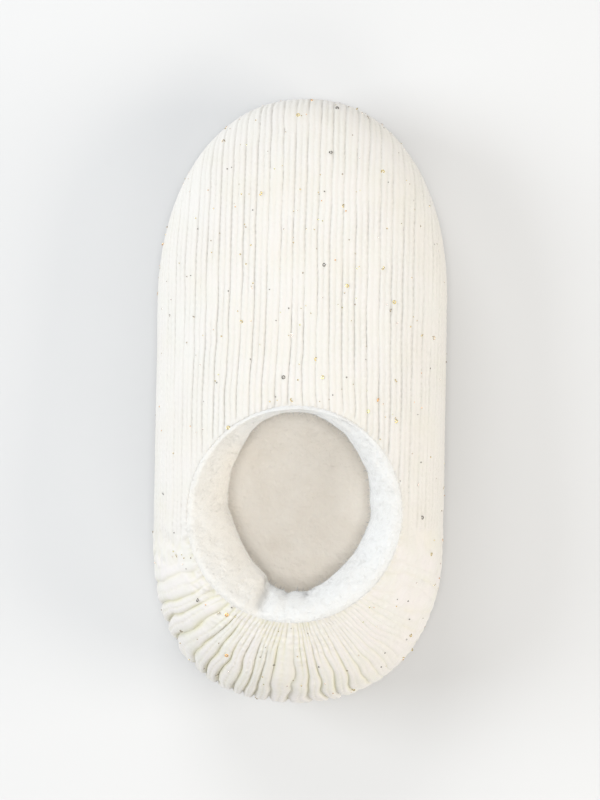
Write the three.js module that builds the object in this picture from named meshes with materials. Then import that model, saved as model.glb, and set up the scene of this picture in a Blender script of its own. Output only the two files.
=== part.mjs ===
// Slipper sock for the left foot: a rib-knit upper gathered round the heel, a thick plush lining that
// rolls out at the collar, a padded insole and a soft flat outsole.
// Millimetres, +Z up, +Y towards the toe, +X towards the inner side of the foot.
// The origin lies on the floor, under the middle of the outline.

import * as THREE from 'three';

// Last: the outline seen from above
const footLength = 245;
const ballWidth = 117.5;
const toeRound = 83;
const heelRound = 66;
const toeSquareness = 2.15;
const heelSquareness = 2.3;
const toeLean = 2;

// Last: heights above the floor
const widestHeight = 24;
const heelCrown = 68;
const throatCrown = 62;
const ballCrown = 56;
const toeCrown = 52;
const crownRoundness = 2.45;

// Collar opening, an ellipse in plan
const collarLength = 86;
const collarWidth = 86;
const collarFromHeel = 77.5;

// Knit upper
const knitWall = 2.8;
const tuckUnder = 10;
const tuckAngle = 75;
const pleatCount = 25;
const pleatDepth = 2.2;
const pleatFullness = 0.8;
const pleatOnset = 0.08;

// Plush lining
const vampPlush = 7;
const sidePlush = 11;
const rollReachFront = 3.5;
const rollReachSide = 12.5;
const rollReachBack = 11.5;
const rollHeightFront = 9;
const rollHeightBack = 20;

// Outsole and insole
const soleThickness = 4;
const soleMargin = 2;
const soleEdgeRound = 1.2;
const insoleThickness = 5;
const insoleEdgeRound = 1;
const waistInner = 5;
const waistOuter = 2.5;
const archLift = 1.5;
const toeSpring = 3;

// Where the sole's shape changes, in shares of the length from the middle
const waistBack = -0.36;
const waistFront = 0.26;
const archBack = -0.21;
const archFront = 0.03;
const springStart = 0.3;

// Fit between pieces
const gap = 0.3;

// How finely the curved faces are cut
const toeColumns = 16;
const sideColumns = 8;
const columnsPerPleat = 4;
const ringCrowding = 2.2;
const leastRingStep = 0.02;

const halfLength = footLength / 2;
const halfWidth = ballWidth / 2;
const toeCentre = halfLength - toeRound;
const heelCentre = heelRound - halfLength;
const collarCentre = collarFromHeel - halfLength;

// The height of the last along its top line, at shares of the length from the middle.
const crownLine = [
  { section: 'heel', along: -0.5, height: heelCrown },
  { section: 'collar', along: -0.2, height: heelCrown },
  { section: 'throat', along: 0, height: throatCrown },
  { section: 'ball', along: 0.2, height: ballCrown },
  { section: 'toe', along: 0.5, height: toeCrown },
];

// Where the upper's lines from the outline meet the collar, in degrees from its front.
// A station is 0 at the toe tip, 1 where the toe curve ends, 2 where the heel curve starts, 3 at the back.
const collarLine = [
  { section: 'toe tip', station: 0, degrees: 0 },
  { section: 'toe curve end', station: 1, degrees: 50 },
  { section: 'heel curve start', station: 2, degrees: 102 },
  { section: 'heel side', station: 2.15, degrees: 121 },
  { section: 'heel quarter', station: 2.32, degrees: 139 },
  { section: 'heel corner', station: 2.5, degrees: 152 },
  { section: 'heel back corner', station: 2.75, degrees: 167 },
  { section: 'heel back', station: 3, degrees: 180 },
];

// The share of the pleat depth from the sole edge at turn -1, past the widest line at 0, to the collar at 1.
const pleatLine = [
  { section: 'sole edge', turn: -1, depth: 0.2 },
  { section: 'under the bulge', turn: -0.4, depth: 0.8 },
  { section: 'bulge', turn: 0.15, depth: 1 },
  { section: 'shoulder', turn: 0.7, depth: 0.8 },
  { section: 'collar', turn: 1, depth: 0.4 },
];

// The plush by station round the collar: its thickness on the wall and the size of its roll.
const plushLine = [
  { section: 'front', station: 0, thickness: vampPlush, reach: rollReachFront, height: rollHeightFront },
  { section: 'front corner', station: 1, thickness: (vampPlush + sidePlush) / 2,
    reach: (rollReachFront + rollReachSide) / 2, height: (rollHeightFront + rollHeightBack) / 2 },
  { section: 'side', station: 2, thickness: sidePlush, reach: rollReachSide, height: rollHeightBack },
  { section: 'back', station: 3, thickness: sidePlush, reach: rollReachBack, height: rollHeightBack },
];

// The roll's section from the knit edge over to its underside, in shares of its reach and height.
const rollProfile = [
  { reach: 0.12, drop: 0.01 },
  { reach: 0.38, drop: -0.08 },
  { reach: 0.68, drop: 0.02 },
  { reach: 0.91, drop: 0.25 },
  { reach: 1, drop: 0.55 },
  { reach: 0.88, drop: 0.85 },
];

// Turns at which the knit and the plush are cut into rings.
const outerTurns = [-1, -0.75, -0.5, -0.25, 0, 0.13, 0.26, 0.38, 0.5, 0.6, 0.7, 0.8, 0.9, 1];
const innerTurns = [-0.3, 0, 0.2, 0.4, 0.6, 0.8, 1];
const plushInnerTurns = [0.7, 0.45, 0.2, 0];

// Shares of the way from a sole's edge to its spine.
const soleShares = [0.08, 0.3, 0.62, 1];

const radians = Math.PI / 180;

// Reads a column of a table as a smooth curve through its rows, level at both ends.
function readTable(rows, key, column, at) {
  const last = rows.length - 1;
  if (at <= rows[0][key]) return rows[0][column];
  if (at >= rows[last][key]) return rows[last][column];
  let i = 0;
  while (rows[i + 1][key] < at) i += 1;
  const slope = (a, b) => (rows[b][column] - rows[a][column]) / (rows[b][key] - rows[a][key]);
  const span = rows[i + 1][key] - rows[i][key];
  const t = (at - rows[i][key]) / span;
  const slopeStart = i === 0 ? 0 : slope(i - 1, i + 1);
  const slopeEnd = i + 1 === last ? 0 : slope(i, i + 2);
  return rows[i][column] * (1 - t) * (1 - t) * (1 + 2 * t)
    + rows[i + 1][column] * t * t * (3 - 2 * t)
    + slopeStart * span * t * (1 - t) * (1 - t)
    - slopeEnd * span * t * t * (1 - t);
}

// A round hump that is 0 at both ends and 1 halfway.
function hump(value, start, end) {
  const t = (value - start) / (end - start);
  return t > 0 && t < 1 ? Math.sin(Math.PI * t) ** 2 : 0;
}

// Reads a column of a table along straight lines between its rows.
function readLine(rows, key, column, at) {
  const next = Math.max(1, rows.findIndex((row) => row[key] >= at));
  const [a, b] = [rows[next - 1], rows[next]];
  return a[column] + (b[column] - a[column]) * (at - a[key]) / (b[key] - a[key]);
}

function leanAt(y) {
  return toeLean * y / halfLength;
}

// A place round the shoe is the station on the inner side, and minus the station on the outer side.
// Past the back it carries on along the other side.
function splitPlace(place) {
  const pastBack = Math.abs(place) > 3;
  return {
    station: pastBack ? 6 - Math.abs(place) : Math.abs(place),
    side: pastBack ? -Math.sign(place) : Math.sign(place),
  };
}

// The outline at a place round the shoe, drawn in by an inset.
function outlineAt(place, inset) {
  const { station, side } = splitPlace(place);
  const width = halfWidth - inset;
  if (station < 1) {
    const angle = station * 90 * radians;
    const x = width * Math.sin(angle) ** (2 / toeSquareness);
    const y = toeCentre + (toeRound - inset) * Math.cos(angle) ** (2 / toeSquareness);
    return { x: side * x, y };
  }
  if (station < 2) {
    return { x: side * width, y: toeCentre + (heelCentre - toeCentre) * (station - 1) };
  }
  const angle = (station - 2) * 90 * radians;
  const x = width * Math.max(0, Math.cos(angle)) ** (2 / heelSquareness);
  const y = heelCentre - (heelRound - inset) * Math.sin(angle) ** (2 / heelSquareness);
  return { x: side * x, y };
}

// The collar edge in plan, at the end of the line that starts at a place of the outline.
function collarAt(place) {
  const { station, side } = splitPlace(place);
  const angle = readLine(collarLine, 'station', 'degrees', station) * radians;
  return {
    x: side * collarWidth / 2 * Math.sin(angle),
    y: collarCentre + collarLength / 2 * Math.cos(angle),
  };
}

// 0 on the last's spine and 1 on its outline.
function outwardShare(x, y) {
  const across = Math.abs(x) / halfWidth;
  if (y > toeCentre) {
    const ahead = (y - toeCentre) / toeRound;
    return (across ** toeSquareness + ahead ** toeSquareness) ** (1 / toeSquareness);
  }
  if (y < heelCentre) {
    const behind = (heelCentre - y) / heelRound;
    return (across ** heelSquareness + behind ** heelSquareness) ** (1 / heelSquareness);
  }
  return across;
}

// The top of the last over a point in plan.
function lastHeight(x, y) {
  const crown = readTable(crownLine, 'along', 'height', y / footLength);
  const share = Math.min(1, outwardShare(x, y));
  return widestHeight + (crown - widestHeight) * (1 - share ** crownRoundness) ** (1 / crownRoundness);
}

// The underside of the outsole: level under the heel and forefoot, lifted at the arch and the toe.
function soleBottom(y) {
  const along = y / footLength;
  const spring = Math.max(0, (along - springStart) / (0.5 - springStart));
  return toeSpring * spring ** 2 + archLift * hump(along, archBack, archFront);
}

function soleTop(y) {
  return soleBottom(y) + soleThickness;
}

// How far the upper is drawn in under the bulge, with the waist of the foot.
function tuckAt(place) {
  const along = outlineAt(place, 0).y / footLength;
  const waist = splitPlace(place).side > 0 ? waistInner : waistOuter;
  return tuckUnder + waist * hump(along, waistBack, waistFront);
}

// The outside of the last. The turn runs from -1 at the sole edge, past 0 at the widest line, to 1 at the collar.
function lastPoint(place, turn) {
  let flat;
  let z;
  if (turn < 0) {
    const angle = -turn * tuckAngle * radians;
    const inset = tuckAt(place) * (1 - Math.cos(angle)) / (1 - Math.cos(tuckAngle * radians));
    flat = outlineAt(place, inset);
    const drop = Math.sin(angle) / Math.sin(tuckAngle * radians);
    z = widestHeight - (widestHeight - soleTop(flat.y) - gap) * drop;
  } else {
    const edge = outlineAt(place, 0);
    const collar = collarAt(place);
    const share = turn ** ringCrowding;
    flat = { x: edge.x + (collar.x - edge.x) * share, y: edge.y + (collar.y - edge.y) * share };
    z = lastHeight(flat.x, flat.y);
  }
  return new THREE.Vector3(flat.x + leanAt(flat.y), flat.y, z);
}

// The direction out of the last at a place and turn.
function lastNormal(place, turn) {
  const step = 0.01;
  const up = lastPoint(place, Math.min(1, turn + step)).sub(lastPoint(place, Math.max(-1, turn - step)));
  const round = lastPoint(place + step, turn).sub(lastPoint(place - step, turn));
  return up.cross(round).normalize();
}

// A point below the outside of the last, measured square to it.
function below(place, turn, depth) {
  return lastPoint(place, turn).addScaledVector(lastNormal(place, turn), -depth);
}

// 1 over the gathered heel and 0 over the rest, softened where the gathers start.
function heelShare(place) {
  return Math.min(1, Math.max(0, (splitPlace(place).station - 2) / pleatOnset));
}

// How deep the outer face lies under the last at a pleat: 0 on its ridge.
function pleatAt(place, turn) {
  const phase = (splitPlace(place).station - 2) * pleatCount / 2;
  const valley = 1 - Math.abs(Math.sin(Math.PI * phase)) ** pleatFullness;
  return pleatDepth * valley * heelShare(place) * readTable(pleatLine, 'turn', 'depth', turn);
}

// The depth of the upper's inner face, which lies deeper behind the pleats.
function innerDepth(place) {
  return knitWall + pleatDepth / 2 * heelShare(place);
}

// The turn at which a layer under the last comes down to a height.
function turnAtHeight(place, depth, height) {
  let low = -1;
  let high = 0;
  for (let i = 0; i < 24; i += 1) {
    const middle = (low + high) / 2;
    if (below(place, middle, depth).z < height) low = middle;
    else high = middle;
  }
  return high;
}

// Columns round the shoe, clockwise from the toe tip. Every main column is shared by all the pieces.
function makeColumns() {
  const half = [];
  for (let i = 0; i < toeColumns; i += 1) half.push({ station: i / toeColumns, main: true });
  for (let i = 0; i < sideColumns; i += 1) half.push({ station: 1 + i / sideColumns, main: true });
  const heelColumns = pleatCount * columnsPerPleat / 2;
  for (let i = 0; i <= heelColumns; i += 1) {
    const main = i % columnsPerPleat === 0;
    half.push({ station: 2 + i / heelColumns, main: main || i === heelColumns });
  }
  const inner = half.map(({ station, main }) => ({ place: station, main }));
  const outer = half.slice(1, -1).reverse().map(({ station, main }) => ({ place: -station, main }));
  return [...inner, ...outer];
}

const columns = makeColumns();
const mainColumns = columns.filter((column) => column.main);

// Joins rings of points into one closed skin. Rings have a point for each column or each main column.
function skinFromRings(rings, closed) {
  const points = [];
  const known = new Map();
  const indexOf = (point) => {
    const key = [point.x, point.y, point.z].map((value) => Math.round(value * 5000)).join(' ');
    if (!known.has(key)) {
      known.set(key, points.length);
      points.push(point);
    }
    return known.get(key);
  };
  const indexed = rings.map((ring) => ring.map(indexOf));
  const faces = [];
  const addFace = (a, b, c) => {
    if (a !== b && b !== c && c !== a) faces.push(a, b, c);
  };
  const strips = closed ? indexed.length : indexed.length - 1;
  for (let s = 0; s < strips; s += 1) {
    joinRings(indexed[s], indexed[(s + 1) % indexed.length], addFace);
  }
  return closedGeometry(points, faces);
}

// Fills the band between two rings, also where only one of them has every column.
function joinRings(first, second, addFace) {
  const whole = Math.max(first.length, second.length);
  const isMain = (i) => whole === mainColumns.length || columns[i % whole].main;
  let a = 0;
  let b = 0;
  for (let i = 0; i < whole; i += 1) {
    const aNext = first.length === whole || isMain(i + 1) ? (a + 1) % first.length : a;
    const bNext = second.length === whole || isMain(i + 1) ? (b + 1) % second.length : b;
    if (aNext !== a) addFace(first[a], first[aNext], second[b]);
    if (bNext !== b) addFace(first[aNext], second[bNext], second[b]);
    a = aNext;
    b = bNext;
  }
}

// A geometry whose faces point out.
function closedGeometry(points, faces) {
  let volume = 0;
  for (let i = 0; i < faces.length; i += 3) {
    const [a, b, c] = [points[faces[i]], points[faces[i + 1]], points[faces[i + 2]]];
    volume += a.dot(new THREE.Vector3().crossVectors(b, c));
  }
  if (volume < 0) faces.reverse();
  const geometry = new THREE.BufferGeometry();
  geometry.setAttribute('position', new THREE.Float32BufferAttribute(points.flatMap((p) => [p.x, p.y, p.z]), 3));
  geometry.setIndex(faces);
  geometry.computeVertexNormals();
  return geometry;
}

// The knit upper: one wall from the sole edge, round the bulge and over the vamp to the collar.
function makeUpper() {
  const outside = outerTurns.map((turn) => columns.map(
    ({ place }) => below(place, turn, pleatAt(place, turn)),
  ));
  const inside = [...innerTurns].reverse().map((turn) => mainColumns.map(
    ({ place }) => below(place, turn, innerDepth(place)),
  ));
  const plushEnd = mainColumns.map(({ place }) => below(place, plushEndTurn(place), innerDepth(place)));
  const soleEnd = mainColumns.map(({ place }) => below(place, -1, innerDepth(place)));
  return skinFromRings([...outside, ...inside, plushEnd, soleEnd], true);
}

function insoleTop(y) {
  return soleTop(y) + gap + insoleThickness;
}

// The turn at which the plush ends, just above the insole.
function plushEndTurn(place) {
  const edge = outlineAt(place, tuckUnder / 2);
  const turn = turnAtHeight(place, innerDepth(place) + gap, insoleTop(edge.y) + gap);
  return Math.min(innerTurns[0] - leastRingStep, turn);
}

// The plush lining: it backs the knit wall, and rolls over at the collar into the opening.
function makeLining() {
  const outsideDepth = (place) => innerDepth(place) + gap;
  const plush = (place, column) => readTable(plushLine, 'station', column, Math.abs(place));
  const insideDepth = (place) => outsideDepth(place) + plush(place, 'thickness');
  const outside = [
    mainColumns.map(({ place }) => below(place, plushEndTurn(place), outsideDepth(place))),
    ...innerTurns.map((turn) => mainColumns.map(({ place }) => below(place, turn, outsideDepth(place)))),
  ];
  const roll = rollProfile.map(({ reach, drop }) => mainColumns.map(({ place }) => {
    const edge = below(place, 1, innerDepth(place));
    const inward = new THREE.Vector3(leanAt(collarCentre) - edge.x, collarCentre - edge.y, 0).normalize();
    edge.addScaledVector(inward, reach * plush(place, 'reach'));
    edge.z -= drop * plush(place, 'height');
    return edge;
  }));
  const inside = plushInnerTurns.map((turn) => mainColumns.map(
    ({ place }) => below(place, turn, insideDepth(place)),
  ));
  const foot = mainColumns.map(({ place }) => {
    const point = below(place, 0, insideDepth(place));
    point.z = insoleTop(point.y) + gap;
    return point;
  });
  // Taken backwards, the rings follow the knit's inner face, so both faces are cut along the same diagonals.
  return skinFromRings([...outside, ...roll, ...inside, foot].reverse(), true);
}

// A flat sole between two heights, with a rounded edge. The outline and the heights are functions.
function makeSlab(edgeAt, bottomAt, topAt, edgeRound) {
  const spineAt = (place) => {
    const y = Math.min(toeCentre, Math.max(heelCentre, outlineAt(place, 0).y));
    return { x: leanAt(y), y };
  };
  const ring = (share, inset, heightAt) => mainColumns.map(({ place }) => {
    const edge = edgeAt(place);
    const spine = spineAt(place);
    const length = Math.hypot(spine.x - edge.x, spine.y - edge.y);
    const along = share + (1 - share) * inset / length;
    const x = edge.x + (spine.x - edge.x) * along;
    const y = edge.y + (spine.y - edge.y) * along;
    return new THREE.Vector3(x, y, heightAt(y));
  });
  const bottom = soleShares.map((share) => ring(share, edgeRound, bottomAt)).reverse();
  const top = soleShares.map((share) => ring(share, edgeRound, topAt));
  const side = [
    ring(0, edgeRound, bottomAt),
    ring(0, 0, (y) => bottomAt(y) + edgeRound),
    ring(0, 0, (y) => topAt(y) - edgeRound),
    ring(0, edgeRound, topAt),
  ];
  return skinFromRings([...bottom, ...side, ...top], false);
}

function makeOutsole() {
  const edgeAt = (place) => {
    const edge = outlineAt(place, tuckAt(place) - soleMargin);
    return { x: edge.x + leanAt(edge.y), y: edge.y };
  };
  return makeSlab(edgeAt, soleBottom, soleTop, soleEdgeRound);
}

function makeInsole() {
  const edgeAt = (place) => {
    const rim = below(place, -1, innerDepth(place));
    const out = lastNormal(place, 0);
    return { x: rim.x - gap * out.x, y: rim.y - gap * out.y };
  };
  return makeSlab(edgeAt, (y) => soleTop(y) + gap, insoleTop, insoleEdgeRound);
}

const knit = new THREE.MeshStandardMaterial({ color: 0xf4f0e4, roughness: 0.95, metalness: 0 });
const plush = new THREE.MeshStandardMaterial({ color: 0xf5f4f0, roughness: 1, metalness: 0 });
const footbed = new THREE.MeshStandardMaterial({ color: 0xece5da, roughness: 1, metalness: 0 });
const soleFelt = new THREE.MeshStandardMaterial({ color: 0xe6dfcf, roughness: 0.9, metalness: 0 });

function makePiece(name, geometry, material) {
  const piece = new THREE.Mesh(geometry, material);
  piece.name = name;
  return piece;
}

const slipperSock = new THREE.Group();
slipperSock.add(makePiece('knit_upper', makeUpper(), knit));
slipperSock.add(makePiece('plush_lining', makeLining(), plush));
slipperSock.add(makePiece('insole', makeInsole(), footbed));
slipperSock.add(makePiece('outsole', makeOutsole(), soleFelt));

export default slipperSock;
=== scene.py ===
"""Slipper sock for the left foot: rib knit with gathered heel, plush lining, padded insole, soft outsole.

The shape functions are those of the CAD. They work in millimetres, and make_object turns them into metres.
"""

import math

import bpy
import numpy as np
from mathutils import Matrix, Vector
from mathutils.bvhtree import BVHTree


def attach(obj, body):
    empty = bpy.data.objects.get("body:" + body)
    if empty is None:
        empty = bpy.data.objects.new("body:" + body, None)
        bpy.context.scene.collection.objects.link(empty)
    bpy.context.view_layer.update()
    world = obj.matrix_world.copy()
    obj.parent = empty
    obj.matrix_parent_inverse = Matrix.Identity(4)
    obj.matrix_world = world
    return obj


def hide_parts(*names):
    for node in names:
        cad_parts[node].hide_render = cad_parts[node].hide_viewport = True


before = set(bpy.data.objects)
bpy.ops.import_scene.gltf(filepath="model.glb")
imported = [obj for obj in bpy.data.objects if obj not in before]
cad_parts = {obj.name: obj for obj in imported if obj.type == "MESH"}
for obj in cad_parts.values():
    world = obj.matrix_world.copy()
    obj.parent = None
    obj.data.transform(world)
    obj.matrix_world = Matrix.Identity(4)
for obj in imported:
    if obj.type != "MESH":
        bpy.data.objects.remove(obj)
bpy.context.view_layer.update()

MM = 0.001
scene = bpy.context.scene

# The last: outline, heights and collar
foot_length = 245.0
ball_width = 117.5
toe_round = 83.0
heel_round = 66.0
toe_squareness = 2.15
heel_squareness = 2.3
toe_lean = 2.0
widest_height = 24.0
crown_line = [(-0.5, 68.0), (-0.2, 68.0), (0.0, 62.0), (0.2, 56.0), (0.5, 52.0)]
crown_roundness = 2.45
collar_length = 86.0
collar_width = 86.0
collar_from_heel = 77.5
collar_stations = [0, 1, 2, 2.15, 2.32, 2.5, 2.75, 3]
collar_degrees = [0, 50, 102, 121, 139, 152, 167, 180]
ring_crowding = 2.2

# Wall, lining and soles
knit_wall = 2.8
tuck_under = 10.0
tuck_angle = math.radians(75)
pleat_depth = 2.2
sole_thickness = 4.0
sole_margin = 2.0
sole_edge_round = 1.2
insole_thickness = 5.0
insole_edge_round = 1.0
waist_inner = 5.0
waist_outer = 2.5
arch_lift = 1.5
toe_spring = 3.0
waist_back, waist_front = -0.36, 0.26
arch_back, arch_front = -0.21, 0.03
spring_start = 0.3
gap = 0.3

half_length = foot_length / 2
half_width = ball_width / 2
toe_centre = half_length - toe_round
heel_centre = heel_round - half_length
collar_centre = collar_from_heel - half_length

# Depth of the heel's pleats from the sole edge at turn -1 to the collar at 1, and by place round the heel:
# 2 where it starts on the inner side, 3 at the back, 4 where it ends on the outer side.
pleat_turns = [(-1, 0.25), (-0.4, 0.9), (0.15, 1.2), (0.6, 0.78), (0.85, 0.6), (1, 0.45)]
pleat_places = [(2, 0.05), (2.2, 0.14), (2.5, 0.22), (2.7, 0.45), (2.85, 0.9),
                (3.1, 1.05), (3.5, 1.15), (3.72, 1.0), (3.86, 0.45), (4, 0.1)]

# How many pleats lie before a place round the heel
pleat_numbers = [(2, 0), (2.72, 8.6), (3, 12.8), (3.3, 17.4), (3.6, 21), (4, 25)]

# Plush by station: thickness on the wall, and reach and height of the roll at the collar
plush_thickness = [(0, 7.0), (1, 9.0), (2, 11.0), (3, 11.0)]
plush_reach = [(0, 2.6), (1, 8.6), (2, 14.0), (3, 11.6)]
plush_height = [(0, 9.0), (1, 14.5), (2, 20.0), (3, 20.0)]

# The roll's section: way in and rise of its first rows, then shares of its reach, with drops as shares of its
# height on the inner side and back, and on the outer side, where the plush slopes
roll_starts = [(0.3, 0.05), (1.6, 0.8)]
roll_shares = [0.34, 0.66, 0.9, 1.0, 0.9]
roll_drops = [-0.1, 0.0, 0.22, 0.52, 0.85]
slope_drops = [-0.01, 0.17, 0.4, 0.7, 1.05]
slope_reach = 1.24

# Where the slope starts and ends round the collar, and how much thicker the plush is behind it, by turn
slope_start = (3.22, 3.42)
slope_end = (5.0, 5.7)
slope_backing = [(0.7, 15.0), (0.45, 14.0), (0.2, 12.0), (0, 8.0)]
slope_foot = 6.0

# Rib knit
rib_pitch = 4.97
rib_depth = 0.75
rib_proud = 0.2
throat_stretch = 0.1
throat_y = -2.0
throat_length, throat_width = 22.0, 30.0
straight_share = 0.5
straight_span = (60.0, 110.0)
course_pitch = 2.7
course_bend = 0.7
course_level = 56.0
course_span = (70.0, 115.0)
leg_place = 0.48
pleat_bulge = 0.8
fine_rib_depth = 0.6
edge_bead_pitch = 2.45
edge_lift = 0.05
edge_bead_height = 0.3
edge_radius = 0.35
edge_thinning = 0.32

# How finely the pieces are cut, and how many hairs they have
vamp_columns = 262
side_columns = 190
heel_columns = 255
vamp_rows = 256
back_rows = 144
lining_columns = 400
insole_columns = 240
insole_rings = 52
outsole_columns = 300
plush_hairs = 12000
insole_hairs = 3000

# Steps between the lining's rows: up its outside, over the edge, over the roll, down its inside
lining_steps = [1] * 6 + [2] + [4] * 2 + [10] * 5 + [12, 14, 14, 12, 10]
first_shown = 9
rows_over_roll = 56


def curve(t, start, end, start_slope, end_slope):
    """A cubic curve from start to end, by its slopes there."""
    return (start * (1 - t) ** 2 * (1 + 2 * t) + end * t * t * (3 - 2 * t)
            + start_slope * t * (1 - t) ** 2 - end_slope * t * t * (1 - t))


def read_smooth(table, at):
    """Reads rows of (place, value) as a smooth curve through them, level at both ends."""
    places, values = np.array(table, float).T
    at = np.clip(at, places[0], places[-1])
    row = np.clip(np.searchsorted(places, at, side="right") - 1, 0, len(places) - 2)
    slopes = np.zeros(len(places))
    slopes[1:-1] = (values[2:] - values[:-2]) / (places[2:] - places[:-2])
    span = places[row + 1] - places[row]
    t = (at - places[row]) / span
    return curve(t, values[row], values[row + 1], slopes[row] * span, slopes[row + 1] * span)


def ease(value, start, end):
    t = np.clip((value - start) / (end - start), 0, 1)
    return t * t * (3 - 2 * t)


def wave(turns):
    """1 at whole turns and 0 halfway between them."""
    return 0.5 + 0.5 * np.cos(2 * math.pi * turns)


def hump(value, start, end):
    """A round hump, 0 at both ends and 1 halfway."""
    t = np.clip((value - start) / (end - start), 0, 1)
    return np.sin(math.pi * t) ** 2


def superellipse(share, squareness):
    return (1 - share ** squareness) ** (1 / squareness)


def lengths_along(steps):
    """Running totals of the steps of each row, from 0."""
    return np.concatenate([np.zeros((len(steps), 1)), np.cumsum(steps, axis=1)], axis=1)


def split_place(place):
    """Station and side of a place, which is a station on the inner side and minus one on the outer."""
    past_back = np.abs(place) > 3
    station = np.where(past_back, 6 - np.abs(place), np.abs(place))
    side = np.where(past_back, -np.sign(place), np.sign(place))
    return station, side


def ring_places(count):
    """Evenly spaced places all round the shoe, from the toe by the inner side."""
    place = np.linspace(0, 6, count, endpoint=False)
    return np.where(place > 3, place - 6, place)


def outline_at(place, inset=0.0):
    """The outline in plan, drawn in by an inset."""
    station, side = split_place(place)
    toe = np.clip(station, 0, 1) * math.pi / 2
    heel = np.clip(station - 2, 0, 1) * math.pi / 2
    width = half_width - inset
    toe_cosine = np.maximum(np.cos(toe), 0)
    heel_cosine = np.maximum(np.cos(heel), 0)
    x = side * width * np.sin(toe) ** (2 / toe_squareness) * heel_cosine ** (2 / heel_squareness)
    y = (toe_centre + (toe_round - inset) * toe_cosine ** (2 / toe_squareness)
         + (heel_centre - toe_centre) * np.clip(station - 1, 0, 1)
         - (heel_round - inset) * np.sin(heel) ** (2 / heel_squareness))
    return x, y


def collar_angle(station):
    return np.radians(np.interp(station, collar_stations, collar_degrees))


def collar_at(place):
    station, side = split_place(place)
    angle = collar_angle(station)
    return side * collar_width / 2 * np.sin(angle), collar_centre + collar_length / 2 * np.cos(angle)


def last_height(x, y):
    """The top of the last over a point in plan."""
    across = np.abs(x) / half_width
    ahead = np.maximum(0, y - toe_centre) / toe_round
    behind = np.maximum(0, heel_centre - y) / heel_round
    front = (across ** toe_squareness + ahead ** toe_squareness) ** (1 / toe_squareness)
    back = (across ** heel_squareness + behind ** heel_squareness) ** (1 / heel_squareness)
    share = np.minimum(1, np.where(y > toe_centre, front, back))
    crown = read_smooth(crown_line, y / foot_length)
    return widest_height + (crown - widest_height) * superellipse(share, crown_roundness)


def sole_bottom(y):
    along = y / foot_length
    spring = np.maximum(0, (along - spring_start) / (0.5 - spring_start))
    return toe_spring * spring ** 2 + arch_lift * hump(along, arch_back, arch_front)


def sole_top(y):
    return sole_bottom(y) + sole_thickness


def insole_top(y):
    return sole_top(y) + gap + insole_thickness


def lean_at(y):
    return toe_lean * y / half_length


def tuck_at(place):
    """How far the upper is drawn in under the bulge."""
    along = outline_at(place)[1] / foot_length
    waist = np.where(split_place(place)[1] > 0, waist_inner, waist_outer)
    return tuck_under + waist * hump(along, waist_back, waist_front)


def last_point(place, turn):
    """The outside of the last. The turn is -1 at the sole edge, 0 at the widest line, 1 at the collar."""
    place, turn = np.broadcast_arrays(np.asarray(place, float), np.asarray(turn, float))
    angle = np.clip(-turn, 0, 1) * tuck_angle
    inset = tuck_at(place) * (1 - np.cos(angle)) / (1 - math.cos(tuck_angle))
    low_x, low_y = outline_at(place, inset)
    drop = np.sin(angle) / math.sin(tuck_angle)
    low_z = widest_height - (widest_height - sole_top(low_y) - gap) * drop
    edge_x, edge_y = outline_at(place)
    collar_x, collar_y = collar_at(place)
    share = np.clip(turn, 0, 1) ** ring_crowding
    high_x = edge_x + (collar_x - edge_x) * share
    high_y = edge_y + (collar_y - edge_y) * share
    high_z = last_height(high_x, high_y)
    x, y, z = np.where(turn < 0, (low_x, low_y, low_z), (high_x, high_y, high_z))
    return np.stack([x + lean_at(y), y, z], axis=-1)


def unit(vectors):
    return vectors / np.maximum(np.linalg.norm(vectors, axis=-1, keepdims=True), 1e-9)


def last_normal(place, turn):
    step = 0.01
    up = last_point(place, np.minimum(1, turn + step)) - last_point(place, np.maximum(-1, turn - step))
    around = last_point(place + step, turn) - last_point(place - step, turn)
    return unit(np.cross(up, around))


def below(place, turn, depth):
    """A point under the outside of the last, measured square to it."""
    depth = np.asarray(depth, float)
    return last_point(place, turn) - last_normal(place, turn) * depth[..., None]


def inner_depth(place):
    """The depth of the knit's inner face."""
    return knit_wall + pleat_depth / 2 * np.clip((split_place(place)[0] - 2) / 0.08, 0, 1)


noise_values = np.random.default_rng(11).uniform(-1, 1, 4096)
noise_axes = np.linalg.qr(np.random.default_rng(12).normal(size=(3, 3)))[0]
noise_strides = np.array([1619, 31337, 6971])
noise_seed_stride = 1013


def noise(points, size, seed):
    """Smooth noise from -1 to 1 that changes over about a size."""
    cell = points @ noise_axes / size
    base = np.floor(cell).astype(np.int64)
    t = cell - base
    t = t * t * (3 - 2 * t)
    total = np.zeros(points.shape[:-1])
    for corner in np.ndindex(2, 2, 2):
        weight = np.prod(np.where(corner, t, 1 - t), axis=-1)
        index = (base + corner) @ noise_strides + seed * noise_seed_stride
        total += weight * noise_values[index % len(noise_values)]
    return total


def section_width(y):
    """Half the outline's width at a distance along the shoe."""
    ahead = np.clip((y - toe_centre) / toe_round, 0, 1)
    behind = np.clip((heel_centre - y) / heel_round, 0, 1)
    return half_width * superellipse(ahead, toe_squareness) * superellipse(behind, heel_squareness)


# Length over the vamp from its middle line, by distance along the shoe and by angle to the side
across_ys = np.linspace(-half_length, half_length, 320)
across_angles = np.linspace(0, math.pi / 2, 260)
across_x = section_width(across_ys)[:, None] * np.sin(across_angles)
across_z = last_height(across_x, across_ys[:, None])
across_lengths = lengths_along(np.hypot(np.diff(across_x, axis=1), np.diff(across_z, axis=1)))


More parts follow.
